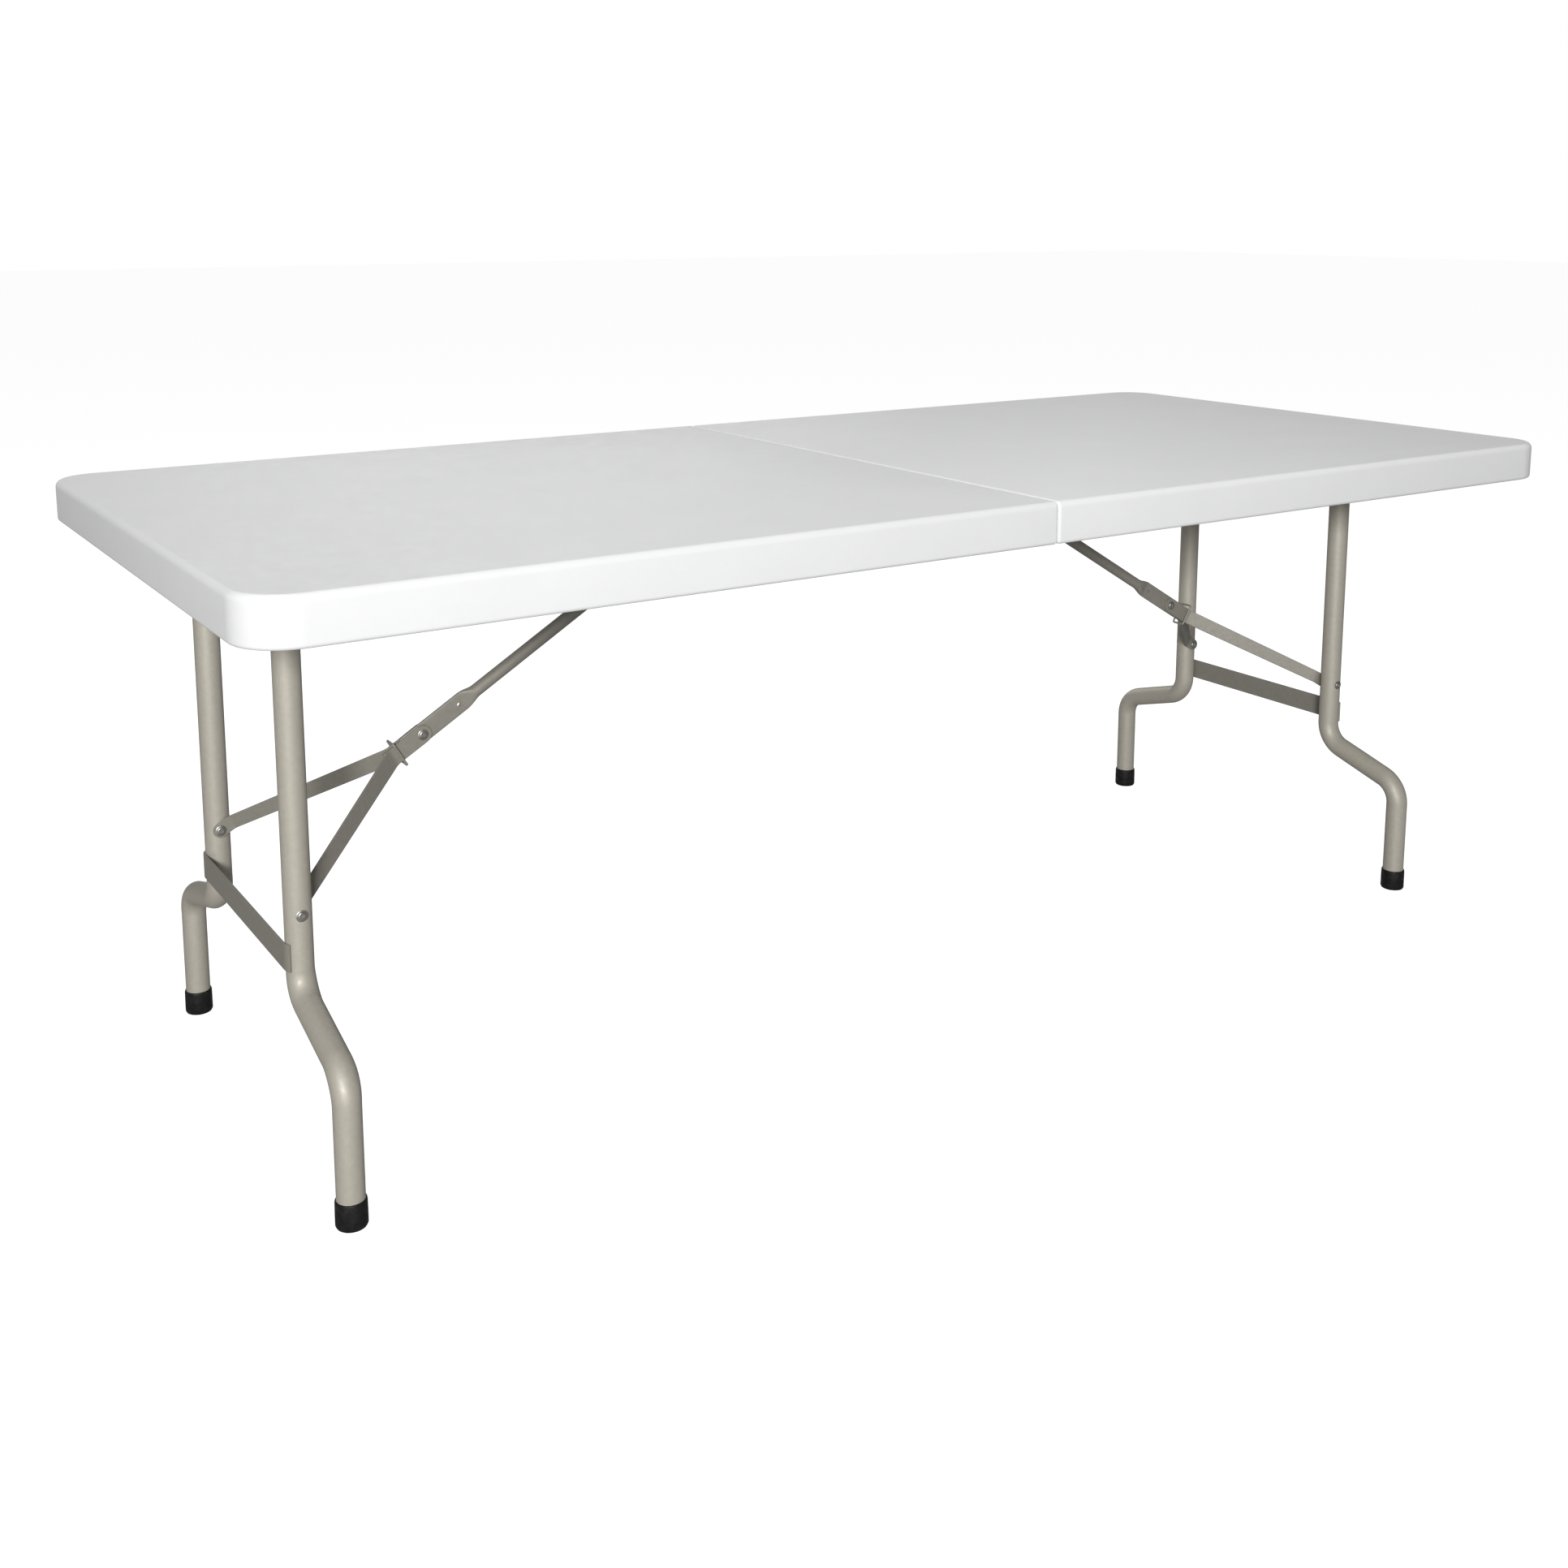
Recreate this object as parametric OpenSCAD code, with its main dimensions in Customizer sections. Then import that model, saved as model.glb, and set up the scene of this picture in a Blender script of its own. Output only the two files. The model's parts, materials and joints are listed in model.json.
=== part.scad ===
// Fold-in-half table: two moulded top halves hinged at the middle, each with
// a folding leg set, a knuckle brace and a sliding lock ring.
// Origin on the floor under the middle of the top. X runs along the length,
// Y across the width, Z up. The left half is at -X and the front is at -Y.

/* [Top] */
// Length of the opened top
table_l = 2000; // [1960:10:2100]
// Width of the top
table_w = 900; // [840:10:960]
// Height of the top above the floor
table_h = 740; // [730:1:760]
// Height of the skirt round the edge
skirt_h = 54; // [54:1:58]
// Thickness of the top above the recess
slab_t = 15; // [15:1:17]
// Width of the rim round the recess
rim_w = 26; // [24:1:28]
// Width of the rim beside the seam
seam_rim_w = 14; // [12:1:16]
// Gap between the two halves
seam_gap = 1.5; // [1:0.5:3]
// Corner radius seen from above
corner_r = 60; // [45:1:70]
// Radius of the rounded top edge
edge_r = 9; // [6:1:14]
// Radius of the lower edge of the skirt
lip_r = 4; // [2:1:5]

/* [Legs] */
// Distance from the end of the top to the legs
leg_inset = 125; // [115:1:130]
// Distance from the middle plane to the upper part of a leg
leg_y = 164; // [155:1:170]
// Distance from the middle plane to a foot
foot_y = 308; // [290:1:320]
// Outer diameter of a leg tube
leg_d = 32; // [30:1:32]
// Wall thickness of the steel tubes
tube_wall = 1.5; // [1:0.1:2]
// Height at which the legs start to bend outwards
kink_z = 244; // [234:1:254]
// Centre line radius of the bends
bend_r = 40; // [34:1:44]
// Diameter of a foot cap
foot_d = 37; // [35:1:37]
// Height of a foot cap
foot_h = 32; // [25:1:40]
// Height of the flat strap between the legs
strap_h = 33; // [25:1:36]
// Thickness of the flat strap
strap_t = 2.5; // [2:0.5:2.5]
// Diameter of the tube that the legs turn on
pivot_d = 22; // [20:1:24]

/* [Brace] */
// Height of the rivets that join the brace to the legs
brace_rivet_z = 310; // [300:1:330]
// Distance from the seam to the upper end of the brace
brace_x = 212; // [205:1:220]
// Diameter of the strut tube
strut_d = 17; // [15:1:17]
// Width of the strut's flattened knuckle
flat_w = 26; // [22:1:27]
// Thickness of the flattened ends
flat_t = 5; // [4:0.5:5]
// Width of a yoke bar at the knuckle
yoke_w = 24; // [20:1:24]
// Width of a yoke bar at the leg
yoke_end_w = 19; // [18:1:22]
// Thickness of a yoke bar
yoke_t = 3; // [2:0.5:3]
// Distance from the knuckle rivet to the lock ring
ring_u = 38; // [34:1:42]
// Wire diameter of the lock ring
ring_wire = 3.2; // [2.5:0.1:3.2]

/* [Frame] */
// Distance from the middle plane to a side rail
rail_y = 398; // [395:1:400]
// Width of a side rail
rail_w = 16; // [14:1:18]

/* [Handle and latch] */
// Length of the handle pocket
pocket_l = 150; // [130:1:170]
// Distance from the seam to the middle of the handle
handle_x = 500; // [450:10:550]
// Diameter of the handle's grip
grip_d = 11; // [10:0.5:12]
// Distance from the seam to the latch
latch_x = 905; // [900:1:910]

/* [Hidden] */

white = "white";
steel = "tan";
bare = "silver";
dark = "dimgray";

// Gaps: between pieces that are fixed together, turning fits, and open space
fixed_gap = 0.03;
run_gap = 0.06;
clear_gap = 0.3;
cut = 1;

half_l = table_l / 2;
half_w = table_w / 2;
skirt_z = table_h - skirt_h;
recess_z = table_h - slab_t;
seam_x = seam_gap / 2;
corner_x = half_l - corner_r;
corner_y = half_w - corner_r;

// The leg pivot lies so that a folded leg clears the recess
folded_gap = 0.5;
pivot_z = recess_z - foot_d / 2 - folded_gap;
leg_x = half_l - leg_inset;
leg_r = leg_d / 2;
pivot_r = pivot_d / 2;
pivot_end_y = rail_y + rail_w / 2 + 1;
cap_lip = 3;
cap_t = 2.5;
cap_plug = 10;

// The legs' offset: two equal bends joined by a straight piece
kink_angle = acos(0.28);
offset_y = foot_y - leg_y;
offset_l = (offset_y - 2 * bend_r * (1 - cos(kink_angle))) / sin(kink_angle);
offset_z = 2 * bend_r * sin(kink_angle) + offset_l * cos(kink_angle);
lower_z = kink_z - offset_z;
foot_floor = 5;
wedge = 2 * (bend_r + leg_r);

// The brace folds flat: strut minus yoke equals pivot distance minus leg distance
pivot_dx = leg_x - brace_x;
pivot_dz = pivot_z - brace_rivet_z;
brace_angle = atan2(pivot_dz, pivot_dx);
brace_l = norm([pivot_dx, pivot_dz]);
strut_l = (brace_l + pivot_dx - pivot_dz) / 2;
yoke_l = (brace_l - pivot_dx + pivot_dz) / 2;
knuckle = [-leg_x + yoke_l * cos(brace_angle), 0, brace_rivet_z + yoke_l * sin(brace_angle)];
rivet_r = 4;
head_r = 7;
head_h = 2;

// Yoke bars: side by side at the knuckle, against the legs at the other end
yoke_in_y = flat_t / 2 + clear_gap;
yoke_out_y = leg_y - leg_r - clear_gap - yoke_t;
yoke_side_l = 46;
yoke_tab_l = 16;
yoke_miter = yoke_t * tan(atan2(yoke_out_y - yoke_in_y, yoke_l - yoke_side_l - yoke_tab_l) / 2);

// Strut: flat knuckle, tongue under the ring, and the crimped lengths
knuckle_l = 65;
knuckle_hole_u = -59;
shoulder_u = 24;
neck_u = 30;
tongue_u = 54;
tongue_w = 20;
crimp_l = 20;
skin = 0.5;
strut_flat_l = 30;
strut_end_r = 12;

ring_in_y = 9.4;
ring_in_w = 15.5;
ring_bend = 3;

rail_z = skirt_z + 2;
rail_h = recess_z - rail_z;
rail_end = half_l - 40;
rail_start = 40;
rail_corner = 3;
screw_r = 2.5;
screw_head_r = 4.5;
screw_head_h = 1.8;
screw_bite = 9;
rail_screw_x = [110, 360, 640, 920];

hinge_z = skirt_z - folded_gap;
hinge_pin_r = 4;
hinge_eye_r = 9;
hinge_leaf_l = 100;
hinge_leaf_t = 3;
hinge_leaf_lo = skirt_z + 6;
hinge_leaf_hi = recess_z - 5;
hinge_rivet_x = [55, 85];
hinge_rivet_r = 3;
hinge_rivet_head_r = 5;
hinge_rivet_head_h = 1.5;
hinge_notch_w = 34;
tongue_t = rail_w - 2 * tube_wall - 0.4;

bracket_t = 2.5;
bracket_w = 44;
bracket_l = 64;
bracket_screw = [23, 14];
ear_in = flat_t / 2 + 0.5;

handle_y = half_w - 9;
handle_z = recess_z - 12;
handle_arm = 21;
handle_arm_w = 12;
handle_pin_r = 3;
handle_pin_bite = 10;
handle_side_gap = 4;
pocket_d = 18;
pocket_z = recess_z - 3;

wall_y = half_w - rim_w;
latch_z = skirt_z + 14;
latch_eye_r = 8;
latch_reach = 25;
latch_tip = 4;
latch_w = 10;
latch_t = 3;
keeper_r = 3;
keeper_head_r = 5.5;

$fn = 64;

// ---- shared shapes -------------------------------------------------------

// The right half mirrors the left one
module side(s) {
    if (s < 0) children();
    else mirror([1, 0, 0]) children();
}

// The front mirrors the back
module row(s) {
    if (s > 0) children();
    else mirror([0, 1, 0]) children();
}

// A cylinder along Y between two values of y
module y_rod(r, y0, y1) {
    translate([0, y1, 0]) rotate([90, 0, 0]) cylinder(r = r, h = y1 - y0);
}

// The brace's own frame: the knuckle rivet at its origin, X towards the legs
module brace_frame() {
    translate(knuckle) rotate([0, 180 - brace_angle, 0]) children();
}

module ring_profile(outer, inner) {
    difference() {
        circle(r = outer);
        circle(r = inner);
    }
}

// ---- top -----------------------------------------------------------------

// Section of the edge: x outwards over a width w, y upwards
module edge_profile(w) {
    square([w - lip_r, lip_r]);
    translate([w - lip_r, lip_r]) circle(r = lip_r);
    translate([0, lip_r]) square([w, skirt_h - lip_r - edge_r]);
    translate([w - edge_r, skirt_h - edge_r]) circle(r = edge_r);
    translate([0, skirt_h - edge_r]) square([w - edge_r, edge_r]);
}

module top_blank() {
    // middle
    translate([-corner_x, -corner_y, skirt_z]) cube([corner_x - seam_x, 2 * corner_y, skirt_h]);
    // long edges
    for (s = [-1, 1]) row(s)
        translate([-seam_x, corner_y, skirt_z]) rotate([90, 0, -90])
            linear_extrude(corner_x - seam_x) mirror([1, 0]) edge_profile(corner_r);
    // end edge
    translate([-corner_x, corner_y, skirt_z]) rotate([90, 0, 0])
        linear_extrude(2 * corner_y) mirror([1, 0]) edge_profile(corner_r);
    // corners
    for (s = [-1, 1]) row(s)
        translate([-corner_x, corner_y, skirt_z])
            rotate_extrude(angle = 90, start = 90) edge_profile(corner_r);
}

// The recess in the underside, which takes the frame and the folded legs
module recess() {
    r = corner_r - rim_w;
    end_x = half_l - rim_w;
    start_x = seam_x + seam_rim_w;
    depth = recess_z - skirt_z + cut;
    translate([0, 0, skirt_z - cut]) {
        for (s = [-1, 1]) translate([-corner_x, s * corner_y, 0]) cylinder(r = r, h = depth);
        translate([-corner_x, -wall_y, 0]) cube([corner_x - start_x, 2 * wall_y, depth]);
        translate([-end_x, -corner_y, 0]) cube([end_x - start_x, 2 * corner_y, depth]);
    }
}

module hinge_notches() {
    for (s = [-1, 1])
        translate([-seam_x - seam_rim_w - cut, s * rail_y - hinge_notch_w / 2, skirt_z - cut])
            cube([seam_rim_w + 2 * cut, hinge_notch_w, rail_h]);
}

module screw_holes_in_top() {
    for (s = [-1, 1], x = rail_screw_x)
        translate([-x, s * rail_y, recess_z - cut])
            cylinder(r = screw_r + fixed_gap, h = screw_bite + cut + fixed_gap);
    for (sx = [-1, 1], sy = [-1, 1])
        translate([-brace_x + sx * bracket_screw.x, sy * bracket_screw.y, recess_z - cut])
            cylinder(r = screw_r + fixed_gap, h = screw_bite + cut + fixed_gap);
}

module wall_hole(x, z) {
    translate([-x, 0, z]) y_rod(screw_r + fixed_gap, wall_y - cut, wall_y + screw_bite + fixed_gap);
}

module handle_pocket() {
    translate([-handle_x - pocket_l / 2, half_w - pocket_d, skirt_z - cut])
        cube([pocket_l, pocket_d + cut, pocket_z - skirt_z + cut]);
    translate([-handle_x - pocket_l / 2 - handle_pin_bite, handle_y, handle_z]) rotate([0, 90, 0])
        cylinder(r = handle_pin_r + fixed_gap, h = pocket_l + 2 * handle_pin_bite);
}

module top_left() color(white) difference() {
    top_blank();
    recess();
    hinge_notches();
    screw_holes_in_top();
    handle_pocket();
    wall_hole(latch_x, latch_z);
}

module top_right() color(white) side(1) difference() {
    top_blank();
    recess();
    hinge_notches();
    screw_holes_in_top();
    wall_hole(latch_x, hinge_z + latch_reach - latch_z + hinge_z);
}

// ---- side rails ----------------------------------------------------------

module rail_section(grow) {
    w = rail_w / 2 - rail_corner;
    h = rail_h / 2 - rail_corner;
    r = rail_corner + grow;
    for (sx = [-1, 1], sy = [-1, 1]) translate([sx * w, sy * h]) circle(r = r);
    square([2 * (w + r), 2 * h], center = true);
    square([2 * w, 2 * (h + r)], center = true);
}

module rail() {
    mid_z = rail_z + rail_h / 2;
    difference() {
        translate([-rail_start, rail_y, mid_z]) rotate([90, 0, -90])
            linear_extrude(rail_end - rail_start) rail_section(0);
        translate([-rail_start + cut, rail_y, mid_z]) rotate([90, 0, -90])
            linear_extrude(rail_end - rail_start + 2 * cut) rail_section(-tube_wall);
        translate([-leg_x, 0, pivot_z])
            y_rod(pivot_r + run_gap, rail_y - rail_w, rail_y + rail_w);
        for (x = rail_screw_x)
            translate([-x, rail_y, rail_z - cut]) cylinder(r = screw_r + fixed_gap, h = rail_h + 2 * cut);
        for (x = hinge_rivet_x)
            translate([-x, 0, pivot_z]) y_rod(hinge_rivet_r + fixed_gap, rail_y - rail_w, rail_y + rail_w);
    }
}

module rail_screws() {
    for (s = [-1, 1], x = rail_screw_x) translate([-x, s * rail_y, 0]) {
        translate([0, 0, rail_z]) cylinder(r = screw_r, h = rail_h + screw_bite);
        translate([0, 0, rail_z - screw_head_h]) cylinder(r = screw_head_r, h = screw_head_h);
    }
}

// ---- centre hinges -------------------------------------------------------

// Side view of a hinge leaf, as far as its eye on the hinge axis
module leaf_outline() {
    eye_in = hinge_eye_r * 0.7;
    polygon([
        [-hinge_leaf_l, hinge_leaf_lo],
        [-hinge_leaf_l, hinge_leaf_hi],
        [-hinge_eye_r - 5, hinge_leaf_hi],
        [eye_in, hinge_z + eye_in / 2],
        [-eye_in / 2, hinge_z - eye_in],
        [-rail_start, hinge_leaf_lo]
    ]);
}

module leaf(y0, t, pin_gap) {
    difference() {
        union() {
            translate([0, y0 + t, 0]) rotate([90, 0, 0]) linear_extrude(t) leaf_outline();
            translate([0, 0, hinge_z]) y_rod(hinge_eye_r, y0, y0 + t);
        }
        translate([0, 0, hinge_z]) y_rod(hinge_pin_r + pin_gap, y0 - cut, y0 + t + cut);
        for (x = hinge_rivet_x)
            translate([-x, 0, pivot_z]) y_rod(hinge_rivet_r + fixed_gap, y0 - cut, y0 + t + cut);
    }
}

module hinge_clevis() {
    leaf(rail_y + rail_w / 2, hinge_leaf_t, fixed_gap);
    leaf(rail_y - rail_w / 2 - hinge_leaf_t, hinge_leaf_t, fixed_gap);
}

module hinge_tongue() side(1) leaf(rail_y - tongue_t / 2, tongue_t, run_gap);

module hinge_pin() {
    reach = rail_w / 2 + hinge_leaf_t;
    translate([0, rail_y, hinge_z]) {
        y_rod(hinge_pin_r, -reach, reach);
        for (s = [-1, 1]) row(s) y_rod(head_r - 0.5, reach, reach + head_h);
    }
}

module hinge_rivets(reach) {
    for (s = [-1, 1], x = hinge_rivet_x) translate([-x, s * rail_y, pivot_z]) {
        y_rod(hinge_rivet_r, -reach, reach);
        for (e = [-1, 1]) row(e) y_rod(hinge_rivet_head_r, reach, reach + hinge_rivet_head_h);
    }
}

// ---- leg sets ------------------------------------------------------------

module pivot_tube() {
    translate([-leg_x, 0, pivot_z]) difference() {
        y_rod(pivot_r, -pivot_end_y, pivot_end_y);
        y_rod(pivot_r - tube_wall, -pivot_end_y - cut, pivot_end_y + cut);
    }
}

module pivot_caps() {
    for (s = [-1, 1]) row(s) translate([-leg_x, 0, pivot_z]) {
        y_rod(pivot_r + cap_lip, pivot_end_y, pivot_end_y + cap_t);
        y_rod(pivot_r - tube_wall - fixed_gap, pivot_end_y - cap_plug, pivot_end_y);
    }
}

// A bend: the part of a ring between the planes at its two ends
module tube_bend() rotate([90, 0, 90]) difference() {
    rotate_extrude() translate([bend_r, 0]) ring_profile(leg_r, leg_r - tube_wall);
    translate([-wedge, 0, -leg_d]) cube([2 * wedge, wedge, 2 * leg_d]);
    rotate([0, 0, kink_angle]) translate([-wedge, -wedge, -leg_d]) cube([2 * wedge, wedge, 2 * leg_d]);
}

module tube_length(h) linear_extrude(h) ring_profile(leg_r, leg_r - tube_wall);

// A leg tube: rounded head on the pivot tube, shank, offset and lower shank
module leg() {
    bend_top_y = leg_y + bend_r * (1 - cos(kink_angle));
    bend_top_z = kink_z - bend_r * sin(kink_angle);
    plug_z = pivot_z - leg_r;
    translate([-leg_x, 0, 0]) difference() {
        union() {
            translate([0, leg_y, kink_z]) tube_length(plug_z - kink_z);
            translate([0, leg_y, plug_z]) cylinder(r = leg_r, h = leg_r);
            intersection() {
                translate([0, leg_y, pivot_z]) cylinder(r = leg_r, h = leg_r);
                translate([0, 0, pivot_z]) y_rod(leg_r, leg_y - leg_d, leg_y + leg_d);
            }
            translate([0, leg_y + bend_r, kink_z]) tube_bend();
            translate([0, bend_top_y, bend_top_z]) rotate([180 + kink_angle, 0, 0]) tube_length(offset_l);
            translate([0, foot_y - bend_r, lower_z]) rotate([180, 0, 0]) tube_bend();
            translate([0, foot_y, foot_floor]) tube_length(lower_z - foot_floor);
        }
        translate([0, 0, pivot_z])
            y_rod(pivot_r + fixed_gap, leg_y - leg_d, leg_y + leg_d);
        translate([0, 0, brace_rivet_z])
            y_rod(rivet_r + fixed_gap, leg_y - leg_d, leg_y + leg_d);
    }
}

module foot() {
    round_r = 3;
    step = 1;
    translate([-leg_x, foot_y, 0]) rotate_extrude() difference() {
        union() {
            square([foot_d / 2 - round_r, foot_h]);
            translate([0, round_r]) square([foot_d / 2, foot_h - round_r - step]);
            translate([foot_d / 2 - round_r, round_r]) circle(r = round_r);
            translate([0, foot_h - 2 * step]) square([foot_d / 2 - step, 2 * step]);
        }
        translate([-cut, foot_floor]) square([leg_r + fixed_gap + cut, foot_h]);
        translate([-leg_d, -cut]) square([leg_d, foot_h + 2 * cut]);
    }
}

// The flat strap on the outer face of both legs, with ends that wrap round them
module cross_strap() {
    in_r = leg_r + fixed_gap;
    wrap_angle = 38;
    translate([-leg_x - in_r - strap_t, -leg_y, kink_z]) cube([strap_t, 2 * leg_y, strap_h]);
    for (s = [-1, 1]) row(s)
        translate([-leg_x, leg_y, kink_z]) rotate_extrude(angle = wrap_angle, start = 180 - wrap_angle)
            translate([in_r, 0]) square([strap_t, strap_h]);
}

module leg_rivets() {
    for (s = [-1, 1]) row(s) translate([-leg_x, 0, brace_rivet_z]) {
        y_rod(rivet_r, leg_y - leg_r, leg_y + leg_r + fixed_gap);
        y_rod(head_r, leg_y + leg_r + fixed_gap, leg_y + leg_r + fixed_gap + head_h / 2);
        y_rod(head_r - 2, leg_y + leg_r + fixed_gap, leg_y + leg_r + head_h + fixed_gap);
    }
}

// ---- braces --------------------------------------------------------------

// Plan of a yoke bar: along the knuckle, outwards, then along the leg
module yoke_plan() {
    tab_u = yoke_l - yoke_tab_l;
    polygon([
        [0, yoke_in_y],
        [yoke_side_l, yoke_in_y],
        [tab_u, yoke_out_y],
        [yoke_l, yoke_out_y],
        [yoke_l, yoke_out_y + yoke_t],
        [tab_u - yoke_miter, yoke_out_y + yoke_t],
        [yoke_side_l - yoke_miter, yoke_in_y + yoke_t],
        [0, yoke_in_y + yoke_t]
    ]);
}

// Side view of a yoke bar between its two rivets
module yoke_taper() {
    polygon([
        [0, -yoke_w / 2], [yoke_l, -yoke_end_w / 2],
        [yoke_l, yoke_end_w / 2], [0, yoke_w / 2]
    ]);
}

module yoke_bar() brace_frame() difference() {
    union() {
        intersection() {
            translate([0, 0, -yoke_w / 2]) linear_extrude(yoke_w) yoke_plan();
            translate([0, leg_y, 0]) rotate([90, 0, 0]) linear_extrude(leg_y) yoke_taper();
        }
        y_rod(yoke_w / 2, yoke_in_y, yoke_in_y + yoke_t);
        translate([yoke_l, 0, 0]) y_rod(yoke_end_w / 2, yoke_out_y, yoke_out_y + yoke_t);
    }
    y_rod(rivet_r + run_gap, 0, yoke_in_y + yoke_t + cut);
    translate([yoke_l, 0, 0])
        y_rod(rivet_r + fixed_gap, yoke_out_y - cut, yoke_out_y + yoke_t + cut);
}

module yoke_rivets() brace_frame() {
    for (s = [-1, 1]) row(s) translate([yoke_l, 0, 0]) {
        y_rod(rivet_r, yoke_out_y, yoke_out_y + yoke_t);
        y_rod(head_r, yoke_out_y - head_h, yoke_out_y);
    }
}

// Side view of the strut's flattened knuckle and tongue
module knuckle_outline() {
    polygon([
        [-knuckle_l, -flat_w / 2], [shoulder_u, -flat_w / 2],
        [neck_u, -tongue_w / 2], [tongue_u, -tongue_w / 2],
        [tongue_u, tongue_w / 2], [neck_u, tongue_w / 2],
        [shoulder_u, flat_w / 2], [-knuckle_l, flat_w / 2]
    ]);
}

// The crimp between a flattened end and the round tube
module crimp(from_u, to_u, w) {
    hull() {
        translate([from_u, -flat_t / 2, -w / 2]) cube([skin, flat_t, w]);
        translate([to_u, 0, 0]) rotate([0, 90, 0]) cylinder(d = strut_d, h = skin, $fn = 32);
    }
}

module strut() brace_frame() difference() {
    tube_from = -strut_l + strut_flat_l + crimp_l;
    tube_to = -knuckle_l - crimp_l;
    union() {
        translate([0, flat_t / 2, 0]) rotate([90, 0, 0]) linear_extrude(flat_t) knuckle_outline();
        crimp(-knuckle_l - skin, tube_to, flat_w);
        translate([tube_from, 0, 0]) rotate([0, 90, 0]) cylinder(d = strut_d, h = tube_to - tube_from);
        crimp(-strut_l + strut_flat_l, tube_from - skin, 2 * strut_end_r);
        translate([-strut_l, -flat_t / 2, -strut_end_r]) cube([strut_flat_l, flat_t, 2 * strut_end_r]);
        translate([-strut_l, 0, 0]) y_rod(strut_end_r, -flat_t / 2, flat_t / 2);
    }
    y_rod(rivet_r + fixed_gap, -flat_t, flat_t);
    translate([knuckle_hole_u, 0, 0]) y_rod(screw_r, -flat_t, flat_t);
    translate([-strut_l, 0, 0]) y_rod(rivet_r + run_gap, -flat_t, flat_t);
}

module knuckle_rivet() brace_frame() {
    reach = yoke_in_y + yoke_t + clear_gap;
    y_rod(rivet_r, -reach, reach);
    for (s = [-1, 1]) row(s) y_rod(head_r, reach, reach + head_h);
}

module lock_ring() brace_frame() translate([ring_u, 0, 0]) {
    wire_r = ring_wire / 2;
    y = ring_in_y + wire_r - ring_bend;
    z = ring_in_w + wire_r - ring_bend;
    for (s = [-1, 1]) {
        translate([0, 0, s * (z + ring_bend)]) y_rod(wire_r, -y, y);
        translate([0, s * (y + ring_bend), -z]) cylinder(r = wire_r, h = 2 * z);
    }
    for (c = [[1, 1, 0], [-1, 1, 90], [-1, -1, 180], [1, -1, 270]])
        translate([0, c.x * y, c.y * z]) rotate([90, 0, 90])
            rotate_extrude(angle = 90, start = c.z) translate([ring_bend, 0]) circle(r = wire_r);
}

module strut_bracket() {
    ear_h = recess_z - bracket_t - pivot_z;
    difference() {
        union() {
            translate([-brace_x - bracket_l / 2, -bracket_w / 2, recess_z - bracket_t])
                cube([bracket_l, bracket_w, bracket_t]);
            for (s = [-1, 1]) row(s) translate([-brace_x, 0, pivot_z]) {
                y_rod(strut_end_r, ear_in, ear_in + bracket_t);
                translate([-strut_end_r, ear_in, 0]) cube([2 * strut_end_r, bracket_t, ear_h]);
            }
        }
        translate([-brace_x, 0, pivot_z])
            y_rod(rivet_r + fixed_gap, -bracket_w / 2, bracket_w / 2);
        for (sx = [-1, 1], sy = [-1, 1])
            translate([-brace_x + sx * bracket_screw.x, sy * bracket_screw.y, recess_z - bracket_t - cut])
                cylinder(r = screw_r + fixed_gap, h = bracket_t + 2 * cut);
    }
}

module strut_pin() translate([-brace_x, 0, pivot_z]) {
    reach = ear_in + bracket_t;
    y_rod(rivet_r, -reach, reach);
    for (s = [-1, 1]) row(s) y_rod(head_r, reach, reach + head_h);
}

module bracket_screws() {
    for (sx = [-1, 1], sy = [-1, 1])
        translate([-brace_x + sx * bracket_screw.x, sy * bracket_screw.y, 0]) {
            translate([0, 0, recess_z - bracket_t]) cylinder(r = screw_r, h = bracket_t + screw_bite);
            translate([0, 0, recess_z - bracket_t - screw_head_h])
                cylinder(r = screw_head_r, h = screw_head_h);
        }
}

// ---- handle and latch ----------------------------------------------------

module carry_handle() color(white) translate([-handle_x, handle_y, handle_z]) {
    arm_x = pocket_l / 2 - handle_side_gap - handle_arm_w;
    for (s = [-1, 1]) side(s) translate([-arm_x - handle_arm_w, 0, 0]) difference() {
        union() {
            rotate([0, 90, 0]) cylinder(d = grip_d, h = handle_arm_w);
            translate([0, -grip_d / 2, -handle_arm]) cube([handle_arm_w, grip_d, handle_arm]);
            translate([0, 0, -handle_arm]) rotate([0, 90, 0]) cylinder(d = grip_d, h = handle_arm_w);
        }
        translate([-cut, 0, 0]) rotate([0, 90, 0])
            cylinder(r = handle_pin_r + run_gap, h = handle_arm_w + 2 * cut);
    }
    translate([-arm_x, 0, -handle_arm]) rotate([0, 90, 0]) cylinder(d = grip_d, h = 2 * arm_x);
}

module handle_pins() color(bare) translate([-handle_x, handle_y, handle_z]) {
    for (s = [-1, 1]) side(s) translate([-pocket_l / 2 - handle_pin_bite + fixed_gap, 0, 0])
        rotate([0, 90, 0])
            cylinder(r = handle_pin_r, h = handle_pin_bite + handle_side_gap + handle_arm_w);
}

module latch_hook() color(bare) translate([-latch_x, wall_y - clear_gap, latch_z]) rotate([90, 0, 0])
    difference() {
        linear_extrude(latch_t) difference() {
            union() {
                circle(r = latch_eye_r);
                translate([0, -latch_w / 2]) square([latch_reach + latch_tip, latch_w]);
                translate([latch_reach + latch_tip, 0]) circle(d = latch_w);
            }
            translate([latch_reach, 0]) circle(r = keeper_r + clear_gap);
            translate([latch_reach - keeper_r - clear_gap, -latch_w])
                square([2 * (keeper_r + clear_gap), latch_w]);
        }
        translate([0, 0, -cut]) cylinder(r = screw_r + run_gap, h = latch_t + 2 * cut);
    }

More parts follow.
